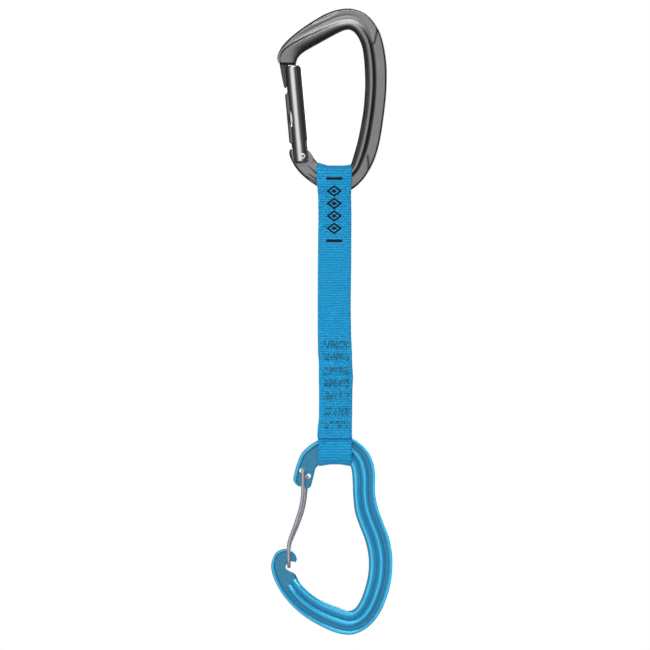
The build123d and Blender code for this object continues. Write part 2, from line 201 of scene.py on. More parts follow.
def disc_rod(centre, radius, length, segments=48):
    """A round rod about its middle, with its axis from front to back, in metres."""
    skin = bmesh.new()
    turn = Vector((0, 1, 0)).to_track_quat("Z", "Y").to_matrix().to_4x4()
    turn.translation = centre
    bmesh.ops.create_cone(skin, cap_ends=True, segments=segments, radius1=radius, radius2=radius,
                          depth=length, matrix=turn)
    return skin


def between(value, stops):
    """The height at a value on a line through the (value, height) stops."""
    for (low, start), (high, end) in zip(stops, stops[1:]):
        if value <= high:
            return start + (end - start) * max(value - low, 0) / (high - low)
    return stops[-1][1]


# The crescent scooped out of the top bar's outer edge: the share where it starts, by station.
SCOOP_EDGE = [(3.7, 1.05), (4.1, 0.9), (4.4, 0.82), (4.8, 0.78), (5.2, 0.77), (5.6, 0.8),
              (6.0, 0.88), (6.4, 1.05)]
SCOOP_STEP = 0.2
SCOOP_SINK = 0.3
# Short creases where the metal flowed thin towards the hinge, as shares of the width.
FLOW_LINES = (0.74, 0.9)
FLOW_SINK = 0.5
HINGE_STATION = 21.0


def upper_half_depth(share, station, crease):
    """Half the bar's depth at a share of its width from the inside."""
    ridge = ramp(station, 0.3, 2.6) * (1 - ramp(station, 19.2, HINGE_STATION))
    lowest = FLANGE_HALF_DEPTH + 0.15
    height = lowest + (UPPER_HALF_DEPTH - lowest) * (0.35 + 0.65 * ridge)
    power = 5.0 - 2.95 * ridge
    v = max(share - crease, 0) / (1 - crease)
    width = BAR_WIDTH * (1 - crease)
    start = PANEL_START - 0.75 * v
    end = PANEL_END + 0.85 * v
    panel = ramp(station, start - PANEL_STEP, start + PANEL_STEP)
    panel *= 1 - ramp(station, end - PANEL_STEP, end + PANEL_STEP)
    valley = ramp(station, 2.5, 4.0) * (1 - ramp(station, 8.5, 9.8))
    depth = FLANGE_HALF_DEPTH - 0.12 * v - PANEL_SINK * panel
    depth -= VALLEY_SINK * valley * math.exp(-((share - crease) / VALLEY_SPREAD) ** 2)
    if share <= crease:
        crown = crease * between(station, CROWN)
        if share <= crown:
            return height * round_off(share / crown, power)
        fallen = ramp(((share - crown) / (crease - crown)) ** 0.6, 0.08, 0.85)
        return height + (depth - height) * fallen
    flow = FLOW_SINK * ramp(station, 19.2, 19.8) * (1 - ramp(station, 20.4, HINGE_STATION))
    for line in FLOW_LINES:
        spread = 0.05 * max(HINGE_STATION - station, 0.1)
        depth -= flow * max(1 - abs(share - line) / spread, 0)
    scoop = share - between(station, SCOOP_EDGE)
    if scoop > 0:
        depth -= SCOOP_STEP * ramp(scoop, 0, 0.04) + SCOOP_SINK * scoop
    return depth * round_off((1 - v) * width / EDGE_ROUND, 2)


def section_ring(outer, inner, columns, half_depths):
    """One closed ring of the bar: down its front from inside to outside, and back behind."""
    def place(share, depth):
        x = inner[0] + (outer[0] - inner[0]) * share
        z = inner[1] + (outer[1] - inner[1]) * share
        return (x * MM, depth * MM, z * MM)
    front = [place(share, -depth) for share, depth in zip(columns, half_depths)]
    back = [place(share, depth) for share, depth in zip(columns, half_depths)]
    return front + back[-2:0:-1]


# Places across the ridge, and across the flange, where each ring has its points.
RIDGE_COLUMNS = (0, 0.015, 0.05, 0.1, 0.16, 0.23, 0.31, 0.4, 0.48, 0.54, 0.58, 0.62, 0.66, 0.7, 0.74, 0.78,
                 0.83, 0.88, 0.94, 1)
FLANGE_COLUMNS = (0.03, 0.06, 0.1, 0.15, 0.21, 0.28, 0.35, 0.42, 0.49, 0.56, 0.63, 0.7, 0.76, 0.82, 0.87,
                  0.91, 0.945, 0.97, 0.988, 0.997, 1)
upper_path = smooth_through(
    [(*outer, *inner, crease) for (outer, inner), crease in zip(UPPER_STATIONS, UPPER_CREASE)], UPPER_STEPS)
upper_rings = []
for number, (ox, oz, ix, iz, crease) in enumerate(upper_path):
    station = number / UPPER_STEPS
    columns = [crease * v for v in RIDGE_COLUMNS]
    columns += [crease + (1 - crease) * v for v in FLANGE_COLUMNS]
    depths = [upper_half_depth(share, station, crease) for share in columns]
    depths[0] = depths[-1] = 0
    upper_rings.append(section_ring((ox, oz), (ix, iz), columns, depths))
upper_body = make_object("upper_carabiner_body", loft(upper_rings), 50)

# The hinge end is milled thin on both faces, so that the gate's fork can straddle it.
PIVOT = (-25.1, -69.6)
LEAN = math.radians(5.25)
HINGE_RECESS = 5.9
HINGE_TONGUE_HALF = 1.7
MILLED_DEPTH = 8


def gate_place(x, y, z):
    """A point of the gate's own frame, x inwards, z up the barrel from the rivet, in metres."""
    return Vector((
        (PIVOT[0] + x * math.cos(LEAN) - z * math.sin(LEAN)) * MM,
        y * MM,
        (PIVOT[1] + x * math.sin(LEAN) + z * math.cos(LEAN)) * MM,
    ))


for face_side in (-1, 1):
    middle = face_side * (HINGE_TONGUE_HALF + MILLED_DEPTH / 2)
    cut_away(upper_body, disc_rod(gate_place(0, middle, 0), HINGE_RECESS * MM, MILLED_DEPTH * MM, 64))
    room = [gate_place(x, 0, z) / MM for x, z in ((-5.8, 0), (9, 0), (9, 12), (-5.8, 12))]
    cut_away(upper_body, plate([(p.x, p.z) for p in room], MILLED_DEPTH, 0, middle))
even_shading(upper_body)

# Nose tongue: the thin key below the nose that the gate's slot closes over. Its darker finish is painted
# shade.
NOSE_TONGUE = [(-37.6, -16.5), (-37.9, -18.6), (-37.0, -24.0), (-36.2, -28.0), (-35.6, -30.8), (-35.0, -31.9),
               (-34.2, -31.9), (-33.8, -30.6), (-33.3, -24.0), (-33.0, -16.5)]
nose_tongue = make_object("nose_tongue", plate(NOSE_TONGUE, 2.8, 0.35), 50)
# Its neck fills the narrow gap between the nose and the gate's top; its black finish is painted shade.
NOSE_NECK = [(-37.7, -16.0), (-37.9, -19.1), (-29.0, -19.3), (-28.7, -16.0)]
nose_neck = make_object("nose_neck", plate(NOSE_NECK, 6.6, 0.3), 50)


# Metal finishes share a fine tumbled grain and a slow drift of tone across the surface.
def group_socket(group, name, in_out, kind, default=None):
    """A new socket on the outside of a node group."""
    socket = group.interface.new_socket(name=name, in_out=in_out, socket_type=kind)
    if default is not None:
        socket.default_value = default


def maths(tree, operation, first, second=None, third=None):
    """One Math node of a node tree, fed by sockets or plain numbers, and its output."""
    node = tree.nodes.new("ShaderNodeMath")
    node.operation = operation
    for slot, value in zip(node.inputs, (first, second, third)):
        if value is None:
            continue
        if isinstance(value, (int, float)):
            slot.default_value = value
        else:
            tree.links.new(value, slot)
    return node.outputs[0]


def mixed(tree, mask, low, high):
    """The colour that goes from low to high with the mask. Each is a socket or an RGBA colour."""
    node = tree.nodes.new("ShaderNodeMix")
    node.data_type = "RGBA"
    tree.links.new(mask, node.inputs[0])
    for slot, tone in zip((node.inputs[6], node.inputs[7]), (low, high)):
        if isinstance(tone, tuple):
            slot.default_value = tone
        else:
            tree.links.new(tone, slot)
    return node.outputs[2]


metal_grain = bpy.data.node_groups.new("metal grain", "ShaderNodeTree")
group_socket(metal_grain, "Scale", "INPUT", "NodeSocketFloat", 2500.0)
group_socket(metal_grain, "Bump", "INPUT", "NodeSocketFloat", 0.1)
group_socket(metal_grain, "Roughness", "INPUT", "NodeSocketFloat", 0.3)
group_socket(metal_grain, "Spread", "INPUT", "NodeSocketFloat", 0.08)
group_socket(metal_grain, "Tone", "OUTPUT", "NodeSocketFloat")
group_socket(metal_grain, "Roughness", "OUTPUT", "NodeSocketFloat")
group_socket(metal_grain, "Normal", "OUTPUT", "NodeSocketVector")
g = metal_grain.nodes
link = metal_grain.links.new
g_in, g_out = g.new("NodeGroupInput"), g.new("NodeGroupOutput")
coords = g.new("ShaderNodeTexCoord")
fine, slow = g.new("ShaderNodeTexNoise"), g.new("ShaderNodeTexNoise")
link(coords.outputs["Object"], fine.inputs["Vector"])
link(g_in.outputs["Scale"], fine.inputs["Scale"])
fine.inputs["Detail"].default_value = 3
link(coords.outputs["Object"], slow.inputs["Vector"])
slow.inputs["Scale"].default_value = 90
slow.inputs["Detail"].default_value = 4
bump = g.new("ShaderNodeBump")
bump.inputs["Distance"].default_value = 0.0000015
link(g_in.outputs["Bump"], bump.inputs["Strength"])
link(fine.outputs["Fac"], bump.inputs["Height"])
link(bump.outputs["Normal"], g_out.inputs["Normal"])
link(slow.outputs["Fac"], g_out.inputs["Tone"])
drift = maths(metal_grain, "SUBTRACT", slow.outputs["Fac"], 0.5)
drift = maths(metal_grain, "MULTIPLY_ADD", drift, g_in.outputs["Spread"], g_in.outputs["Roughness"])
link(drift, g_out.inputs["Roughness"])


def metal(name, dark, light, roughness, spread=0.1, bump_strength=0.5, grain=9000.0, coat=0.0,
          metallic=1.0):
    """A finish whose tone drifts between two colours, with the shared grain."""
    made = bpy.data.materials.new(name)
    made.use_nodes = True
    nodes, links = made.node_tree.nodes, made.node_tree.links
    shader = nodes["Principled BSDF"]
    grain_node = nodes.new("ShaderNodeGroup")
    grain_node.node_tree = metal_grain
    grain_node.inputs["Scale"].default_value = grain
    grain_node.inputs["Bump"].default_value = bump_strength
    grain_node.inputs["Roughness"].default_value = roughness
    grain_node.inputs["Spread"].default_value = spread
    tone = nodes.new("ShaderNodeValToRGB")
    tone.color_ramp.elements[0].position = 0.3
    tone.color_ramp.elements[1].position = 0.7
    tone.color_ramp.elements[0].color = (*dark, 1)
    tone.color_ramp.elements[1].color = (*light, 1)
    links.new(grain_node.outputs["Tone"], tone.inputs["Fac"])
    links.new(tone.outputs["Color"], shader.inputs["Base Color"])
    links.new(grain_node.outputs["Roughness"], shader.inputs["Roughness"])
    links.new(grain_node.outputs["Normal"], shader.inputs["Normal"])
    shader.inputs["Metallic"].default_value = metallic
    shader.inputs["Coat Weight"].default_value = coat
    shader.inputs["Coat Roughness"].default_value = 0.08
    return made


def dress(piece, material):
    """Gives the piece its finish."""
    piece.data.materials.clear()
    piece.data.materials.append(material)


grey_forging = metal("grey anodised forging", (0.28, 0.28, 0.284), (0.33, 0.33, 0.334), 0.36, 0.1, 0.8)
# Near-black finish for the nose neck: painted shade in the gap below the nose.
nose_gap_shade = metal("painted shade in the nose gap", (0.012, 0.012, 0.013), (0.02, 0.02, 0.021), 0.6,
                    metallic=0.6)
# Darker grey for the nose tongue: painted shade, where it sits under the nose.
shaded_grey_forging = metal("grey forging darkened as painted shade", (0.10, 0.10, 0.105), (0.13, 0.13, 0.135), 0.45, 0.1, 0.8)
for piece, finish in ((upper_body, grey_forging), (nose_tongue, shaded_grey_forging), (nose_neck, nose_gap_shade)):
    dress(piece, finish)
    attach(piece, "upper_carabiner")
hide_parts("upper_body")

# ---------------------------------------------------------------------------------------------
# Gate barrel: a polished round bar with a ridge down its outside, painted dark as shade, and a thin
# lip down its inside. It is slotted for the nose, forked over the hinge tongue, and turns on a steel rivet.
# ---------------------------------------------------------------------------------------------
GATE_RADIUS = 4.45
GATE_AXIS_X = -1.1
GATE_TOP = 50.0
GATE_FOOT = -3.7
BARREL_SIDES = 180
RIDGE_HEIGHT = 1.15
LIP_HEIGHT = 0.4
RIVET_RADIUS = 1.7
RIVET_LENGTH = 8.9


def barrel_ring(z, shrink):
    """One ring of the barrel: a circle, grown into a ridge outside and a lip inside."""
    ridge = ramp(z, 7.2, 8.6) * (1 - ramp(z, 34.6, 35.4))
    lip = ramp(z, 7.6, 9.2) * (1 - ramp(z, 48.8, 49.6))
    places = []
    for step in range(BARREL_SIDES):
        angle = 2 * math.pi * step / BARREL_SIDES
        off_out = abs(math.remainder(angle - math.pi, 2 * math.pi))
        off_in = abs(math.remainder(angle, 2 * math.pi))
        x = (GATE_RADIUS - shrink) * math.cos(angle)
        y = (GATE_RADIUS - shrink) * math.sin(angle)
        x -= RIDGE_HEIGHT * ridge * (1 - ramp(off_out, 0.53, 0.56))
        x += LIP_HEIGHT * lip * (1 - ramp(off_in, 0.6, 0.9))
        groove = 0.05 * lip * math.exp(-((off_in - 1.2) / 0.12) ** 2)
        x -= groove * math.cos(angle)
        y -= groove * math.sin(angle)
        places.append(gate_place(GATE_AXIS_X + x, y, z))
    return places


# Heights up the barrel, and how much its rounded ends draw in there.
barrel_levels = [(GATE_FOOT, 1.5), (-3.6, 1.0), (-3.4, 0.6), (-3.0, 0.25), (-2.5, 0.08), (-1.9, 0)]
barrel_levels += [(2, 0), (6.5, 0)]
barrel_levels += [(7.2 + 0.2 * i, 0) for i in range(11)] + [(12 + 2.0 * i, 0) for i in range(12)]
barrel_levels += [(34.5 + 0.15 * i, 0) for i in range(8)] + [(38, 0), (42, 0), (46, 0), (48.7, 0)]
barrel_levels += [(49.0, 0), (49.3, 0.05), (49.6, 0.15), (49.85, 0.35), (GATE_TOP, 0.7)]
gate_barrel = make_object("gate_barrel", loft([barrel_ring(z, shrink) for z, shrink in barrel_levels]), 30)


def gate_block(x_low, x_high, z_low, z_high, thickness):
    """A block in the gate's own frame, about its middle plane."""
    corners = ((x_low, z_low), (x_high, z_low), (x_high, z_high), (x_low, z_high))
    places = [gate_place(x, 0, z) / MM for x, z in corners]
    return plate([(p.x, p.z) for p in places], thickness, 0)


NOSE_SLOT = (-9, -3.2, 35.8, 52, 3.4)
FORK_SLOT = (-9, 9, -9, 5.0, 3.8)
cut_away(gate_barrel, gate_block(*NOSE_SLOT))
cut_away(gate_barrel, gate_block(*FORK_SLOT))
# A scooped pocket on each side, where the ridge meets the barrel.
up_barrel = Vector((-math.sin(LEAN), 0, math.cos(LEAN)))
for face_side in (-1, 1):
    scoop = bmesh.new()
    bmesh.ops.create_uvsphere(scoop, u_segments=48, v_segments=32, radius=1.0)
    bmesh.ops.scale(scoop, vec=(1.9 * MM, 1.5 * MM, 5.2 * MM), verts=scoop.verts)
    bmesh.ops.rotate(scoop, verts=scoop.verts, cent=(0, 0, 0),
                     matrix=Vector((0, 0, 1)).rotation_difference(up_barrel).to_matrix())
    bmesh.ops.translate(scoop, verts=scoop.verts, vec=gate_place(-4.7, face_side * 3.4, 21.2))
    cut_away(gate_barrel, scoop)
even_shading(gate_barrel)
gate_metal = metal("polished gate", (0.70, 0.70, 0.705), (0.76, 0.76, 0.765), 0.2, 0.03, 0.08)
# The ridge down the outside is painted much darker than the barrel, as painted shade.
tree = gate_metal.node_tree
places = tree.nodes.new("ShaderNodeTexCoord")
inward = tree.nodes.new("ShaderNodeVectorMath")
inward.operation = "DOT_PRODUCT"
inward.inputs[1].default_value = (math.cos(LEAN), 0, math.sin(LEAN))
tree.links.new(places.outputs["Object"], inward.inputs[0])
ridge_shade_mask = tree.nodes.new("ShaderNodeMapRange")
RIDGE_FOOT = (-4.95, -4.8)
for end, x in zip(("From Min", "From Max"), RIDGE_FOOT):
    edge = gate_place(x, 0, 0)
    ridge_shade_mask.inputs[end].default_value = edge.x * math.cos(LEAN) + edge.z * math.sin(LEAN)
tree.links.new(inward.outputs["Value"], ridge_shade_mask.inputs["Value"])
base_colour = tree.nodes["Principled BSDF"].inputs["Base Color"]
shaded_ridge_and_barrel = mixed(tree, ridge_shade_mask.outputs["Result"], (0.13, 0.13, 0.135, 1),
                         base_colour.links[0].from_socket)
tree.links.new(shaded_ridge_and_barrel, base_colour)
dress(gate_barrel, gate_metal)
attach(gate_barrel, "upper_gate")
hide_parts("upper_gate")

rivet = disc_rod(gate_place(0, 0, 0), RIVET_RADIUS * MM, RIVET_LENGTH * MM)
rivet_rims = [e for e in rivet.edges if abs(e.verts[0].co.y - e.verts[1].co.y) < 1e-6]
bmesh.ops.bevel(rivet, geom=rivet_rims, offset=0.35 * MM, offset_type="OFFSET", affect="EDGES", segments=4,
                profile=0.5, material=-1, clamp_overlap=True)
gate_rivet = make_object("gate_rivet", rivet)
for face_side in (-1, 1):
    dimple = bmesh.new()
    bmesh.ops.create_uvsphere(dimple, u_segments=32, v_segments=16, radius=1.1 * MM)
    bmesh.ops.translate(dimple, verts=dimple.verts, vec=gate_place(0, face_side * 5.2, 0))
    cut_away(gate_rivet, dimple)
bright_steel = metal("bright steel", (0.88, 0.88, 0.88), (0.94, 0.94, 0.94), 0.34, 0.06, 0.3)
dress(gate_rivet, bright_steel)
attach(gate_rivet, "upper_gate")
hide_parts("upper_gate_rivet")

spring_metal = metal("spring steel", (0.5, 0.5, 0.5), (0.6, 0.6, 0.6), 0.3)
for node in ("upper_gate_plunger", "upper_gate_spring"):
    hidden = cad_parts[node]
    hidden.data.materials.clear()
    hidden.data.materials.append(spring_metal)

# ---------------------------------------------------------------------------------------------
# Lower body: the rope-end carabiner's bar, forged to a thin web with three ribs on each face
# and anodised gloss blue. The ribs die out into flat pockets at the nose and the hinge tab.
# ---------------------------------------------------------------------------------------------
LOWER_STATIONS = [
    ((-27.0, -250.9), (-23.6, -251.8)),
    ((-28.6, -250.3), (-21.9, -252.0)),
    ((-30.3, -247.6), (-20.3, -250.4)),
    ((-29.6, -243.2), (-19.0, -246.0)),
    ((-28.3, -238.6), (-18.2, -242.4)),
    ((-26.2, -233.6), (-17.4, -240.4)),
    ((-23.0, -229.9), (-16.1, -239.3)),
    ((-17.8, -226.2), (-13.6, -237.9)),
    ((-11.8, -223.7), (-10.4, -237.0)),
    ((-5.6, -222.9), (-6.6, -236.7)),
    ((0.2, -223.7), (-2.8, -237.1)),
    ((5.6, -226.3), (-0.5, -238.0)),
    ((10.6, -231.0), (1.1, -240.0)),
    ((13.8, -237.2), (1.9, -243.4)),
    ((15.1, -244.6), (2.3, -248.4)),
    ((15.0, -253.8), (2.6, -256.4)),
    ((16.4, -261.8), (3.6, -265.2)),
    ((19.3, -270.1), (6.2, -273.0)),
    ((22.4, -278.3), (8.8, -279.7)),
    ((24.1, -286.0), (10.6, -286.7)),
    ((24.6, -293.4), (11.2, -293.4)),
    ((23.8, -302.8), (10.6, -300.9)),
    ((21.4, -311.6), (8.7, -308.3)),
    ((17.2, -320.9), (6.4, -314.2)),
    ((10.8, -328.4), (3.6, -318.1)),
    ((2.5, -332.4), (0.3, -319.5)),
    ((-6.5, -331.6), (-4.4, -317.8)),
    ((-16.6, -327.2), (-10.4, -315.6)),
    ((-24.4, -322.4), (-15.6, -313.0)),
    ((-30.9, -316.8), (-20.4, -309.7)),
    ((-36.3, -310.4), (-24.7, -305.8)),
    ((-40.2, -303.6), (-27.4, -302.4)),
    ((-41.8, -299.4), (-29.2, -299.2)),
    ((-42.5, -295.4), (-32.0, -297.8)),
    ((-41.9, -291.6), (-34.0, -296.5)),
    ((-39.7, -287.3), (-34.5, -294.9)),
    ((-35.6, -285.5), (-33.5, -293.2)),
    ((-31.8, -286.0), (-31.8, -292.4)),
    ((-29.1, -288.4), (-30.2, -292.4)),
    ((-28.2, -291.4), (-29.2, -292.8)),
]
LOWER_STEPS = 14
POCKET_HALF = 1.9
RIM_HALF = 2.4
RIB_HALF = 3.9
# Where the three ribs' feet are, as shares of the width. The outer two run past the bar's edges.
INNER_RIB = (-0.03, 0.335)
MIDDLE_RIB = (0.385, 0.668)
OUTER_RIB = (0.795, 1.06)
LOWER_COLUMNS = (0, 0.01, 0.03, 0.06, 0.1, 0.14, 0.18, 0.22, 0.255, 0.285, 0.31, 0.327, 0.338, 0.347, 0.356,
                 0.365, 0.374, 0.385, 0.4, 0.43, 0.47, 0.51, 0.55, 0.585, 0.615, 0.64, 0.655, 0.665, 0.68,
                 0.72, 0.76, 0.78, 0.79, 0.8, 0.812, 0.83, 0.86, 0.895, 0.93, 0.96, 0.98, 0.993, 1)


def bead(share, low, high):
    """A rounded rib between two shares of the width: 0 at its feet, 1 along its top."""
    if not low < share < high:
        return 0
    reach = (high - low) * 0.5
    return round_off((share - low) / reach, 2) * round_off((high - share) / reach, 2)


def rib_end(share, station, middle, half, end):
    """1 on a rib and 0 past its rounded tip, which reaches furthest along its middle line."""
    tip = end - 0.5 * min(abs(share - middle) / half, 1.2) ** 2
    return 1 - ramp(station, tip - 1.1, tip + 0.2)


def lower_half_depth(share, station):
    """Half the bar's depth: the web, with ribs between the pockets at both ends."""
    inner_on = ramp(station, 6.6, 8.0) * rib_end(share, station, 0.17, 0.2, 31.25)
    middle_on = ramp(station, 7.2, 8.6) * rib_end(share, station, 0.5, 0.17, 30.75)
    outer_on = ramp(station, 5.5, 8.5) * (1 - ramp(station, 29.5, 33.0))
    pocket_rim = max(1 - ramp(station, 0.2, 1.0), 1 - ramp(share, 0.05, 0.12))
    pocket_rim = max(pocket_rim * (1 - ramp(station, 5.5, 7.0)), ramp(station, 38.3, 38.9))
    rise = RIB_HALF - POCKET_HALF
    rim = RIM_HALF - POCKET_HALF
    outer_rise = rim + (rise * 0.94 - rim) * outer_on
    depth = POCKET_HALF + max(
        rim * pocket_rim,
        rise * inner_on * bead(share, *INNER_RIB),
        rise * 0.97 * middle_on * bead(share, *MIDDLE_RIB),
        outer_rise * bead(share, *OUTER_RIB),
    )
    return depth * round_off(share / 0.06) * round_off((1 - share) / 0.05)


lower_path = smooth_through([(*outer, *inner) for outer, inner in LOWER_STATIONS], LOWER_STEPS)
lower_rings = []
for number, (ox, oz, ix, iz) in enumerate(lower_path):
    depths = [lower_half_depth(share, number / LOWER_STEPS) for share in LOWER_COLUMNS]
    depths[0] = depths[-1] = 0
    lower_rings.append(section_ring((ox, oz), (ix, iz), LOWER_COLUMNS, depths))
lower_body = make_object("lower_carabiner_body", loft(lower_rings), 42)
# Two short curved slots let the wire's ends swing about the point between them.
WIRE_PIVOT = (-23.85, -243.85)
WIRE_SWING = 26
WIRE_SLOT_RADIUS = 1.2
for end_x, end_z in ((-1.15, 2.15), (1.15, -2.15)):
    slot_skin = bmesh.new()
    for degrees in range(0, WIRE_SWING + 1, 13):
        turn = math.radians(degrees)
        x = WIRE_PIVOT[0] + end_x * math.cos(turn) - end_z * math.sin(turn)
        z = WIRE_PIVOT[1] + end_x * math.sin(turn) + end_z * math.cos(turn)
        for y in (-4, 4):
            rim = bmesh.ops.create_circle(slot_skin, segments=32, radius=WIRE_SLOT_RADIUS * MM)["verts"]
            bmesh.ops.rotate(slot_skin, verts=rim, matrix=Matrix.Rotation(math.pi / 2, 3, "X"))
            bmesh.ops.translate(slot_skin, verts=rim, vec=(x * MM, y * MM, z * MM))
    bmesh.ops.convex_hull(slot_skin, input=slot_skin.verts)
    bmesh.ops.delete(slot_skin, geom=[e for e in slot_skin.edges if not e.link_faces], context="EDGES")
    bmesh.ops.delete(slot_skin, geom=[v for v in slot_skin.verts if not v.link_faces], context="VERTS")
    bmesh.ops.recalc_face_normals(slot_skin, faces=slot_skin.faces)
    cut_away(lower_body, slot_skin)
even_shading(lower_body)
blue_forging = metal("gloss blue anodised forging", (0.05, 0.54, 0.90), (0.07, 0.60, 0.98), 0.28, 0.06,
                     coat=0.3, metallic=0.5)
# The pockets and groove floors are painted darker as shade, with a random speckle of tone.
tree = blue_forging.node_tree
places = tree.nodes.new("ShaderNodeTexCoord")
axes = tree.nodes.new("ShaderNodeSeparateXYZ")
tree.links.new(places.outputs["Object"], axes.inputs[0])
raised = tree.nodes.new("ShaderNodeMapRange")
SHADED_UP_TO = 2.02
UNSHADED_FROM = 2.38
raised.inputs["From Min"].default_value = SHADED_UP_TO * MM
raised.inputs["From Max"].default_value = UNSHADED_FROM * MM
tree.links.new(maths(tree, "ABSOLUTE", axes.outputs["Y"]), raised.inputs["Value"])
speckle = tree.nodes.new("ShaderNodeTexNoise")
speckle.inputs["Scale"].default_value = 1500
tree.links.new(places.outputs["Object"], speckle.inputs["Vector"])
# Painted shade colours for the sunk pockets and groove floors.
pocket_shade_tone = tree.nodes.new("ShaderNodeValToRGB")
pocket_shade_tone.color_ramp.elements[0].position = 0.35
pocket_shade_tone.color_ramp.elements[0].color = (0.022, 0.205, 0.355, 1)
pocket_shade_tone.color_ramp.elements[1].position = 0.65
pocket_shade_tone.color_ramp.elements[1].color = (0.032, 0.275, 0.465, 1)
tree.links.new(speckle.outputs["Fac"], pocket_shade_tone.inputs["Fac"])
base_colour = tree.nodes["Principled BSDF"].inputs["Base Color"]
shaded_pocket_and_rib = mixed(tree, raised.outputs["Result"], pocket_shade_tone.outputs["Color"],
                       base_colour.links[0].from_socket)
tree.links.new(shaded_pocket_and_rib, base_colour)
dress(lower_body, blue_forging)
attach(lower_body, "lower_carabiner")
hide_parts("lower_body")

# ---------------------------------------------------------------------------------------------
# Wire gate: one spring wire of stainless steel, bent to a U round the nose. Its ends turn into
# two short slots of the hinge tab at different heights, and that twist closes it.
# ---------------------------------------------------------------------------------------------
WIRE_RADIUS = 1.05
WIRE_LEG_Y = 3.75
WIRE_FRONT_HOLE = (-25.0, -241.7)
WIRE_REAR_HOLE = (-22.7, -246.0)
PIT_RADIUS = 0.62
FRONT_LEG = [(-25.0, -246.5), (-24.95, -251.9), (-25.4, -258.5), (-26.9, -265.1), (-29.2, -272.2),
             (-31.8, -279.4), (-32.8, -283.6), (-32.8, -288.3)]
REAR_LEG = [(-23.1, -249.2), (-23.5, -253.2), (-24.1, -258.8), (-25.5, -265.2), (-28.0, -272.2),
            (-31.2, -279.6), (-32.5, -283.8), (-32.7, -288.3)]
U_BEND = [(-32.75, -3.6, -292.0), (-32.7, -2.9, -293.9), (-32.7, -1.5, -294.8), (-32.7, 0.0, -295.0)]

hole_x, hole_z = WIRE_FRONT_HOLE
front_half = [(hole_x, 1.8, hole_z), (hole_x, -2.2, hole_z), (hole_x, -3.3, hole_z - 0.35),
              (hole_x, -WIRE_LEG_Y, hole_z - 1.6)]
front_half += [(x, -WIRE_LEG_Y, z) for x, z in FRONT_LEG] + U_BEND
hole_x, hole_z = WIRE_REAR_HOLE
rear_half = [(hole_x, -1.8, hole_z), (hole_x, 2.2, hole_z), (hole_x - 0.05, 3.3, hole_z - 0.35),
             (hole_x - 0.2, WIRE_LEG_Y, hole_z - 1.4)]
rear_half += [(x, WIRE_LEG_Y, z) for x, z in REAR_LEG] + [(x, -y, z) for x, y, z in U_BEND]
wire_points = [Vector(p) * MM for p in smooth_through(front_half + rear_half[-2::-1], 6)]


def tube(points, radius, sides):
    """Rings of a round wire along the points, carried along without twisting."""
    rings = []
    across = Vector((1, 0, 0))
    for number, point in enumerate(points):
        ahead = points[min(number + 1, len(points) - 1)] - points[max(number - 1, 0)]
        ahead.normalize()
        across = (across - ahead * across.dot(ahead)).normalized()
        up = ahead.cross(across)
        rings.append([
            point + (across * math.cos(a) + up * math.sin(a)) * radius
            for a in (2 * math.pi * step / sides for step in range(sides))
        ])
    return rings


wire_gate = make_object("wire_gate_wire", loft(tube(wire_points, WIRE_RADIUS * MM, 20)), 50)
for (x, z), face_side in ((WIRE_FRONT_HOLE, 1), (WIRE_REAR_HOLE, -1)):
    pit = bmesh.new()
    bmesh.ops.create_uvsphere(pit, u_segments=24, v_segments=16, radius=PIT_RADIUS * MM)
    bmesh.ops.translate(pit, verts=pit.verts, vec=(x * MM, face_side * 1.75 * MM, z * MM))
    cut_away(wire_gate, pit)
even_shading(wire_gate)
wire_metal = metal("stainless wire", (0.50, 0.49, 0.56), (0.60, 0.59, 0.66), 0.40, metallic=0.6)
dress(wire_gate, wire_metal)
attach(wire_gate, "wire_gate")
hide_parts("wire_gate")

# ---------------------------------------------------------------------------------------------
# Sling: one strip of ribbed nylon webbing, 18 mm wide. It runs up the front, over the upper
# bar, down the back, round the lower bar and up between the layers, where it is sewn. Here it
# is cut at two levels, into two eyes that flex, two straps that twist and the sewn front end.
# ---------------------------------------------------------------------------------------------
STRAP_HALF_THICKNESS = 1.0
TACK_Z = [-173.0, -179.9, -187.6, -194.2, -201.3, -209.6, -217.3]
TACK_X = -6.5


def strap_section():
    """The webbing's section: places across from -1 to 1, and how thick it is there, -1 to 1."""
    front = [(-1, 0), (-0.992, -0.45), (-0.972, -0.78), (-0.93, -0.95)]
    front += [(-0.86 + 0.086 * i, -1) for i in range(21)]
    front += [(-x, y) for x, y in front[3:0:-1]]
    return front + [(1, 0)] + [(x, -y) for x, y in front[:0:-1]]


# The hanging strap's middle line and half width, by height: it isn't quite straight or even.
STRAP_LINE = [(-240, -7.35, 9.1), (-227, -7.3, 9.0), (-223, -7.6, 9.45), (-219, -7.5, 9.25),
              (-213, -7.1, 9.0), (-198, -7.0, 9.05), (-191, -6.9, 9.3), (-184, -7.1, 9.05),
              (-177, -7.4, 9.2), (-168, -7.7, 9.05), (-152, -7.85, 8.95), (-128, -7.65, 9.05),
              (-102, -7.45, 8.95), (-92, -7.6, 8.9), (-84, -7.9, 9.3), (-79, -7.85, 9.55), (-72, -7.8, 9.3)]


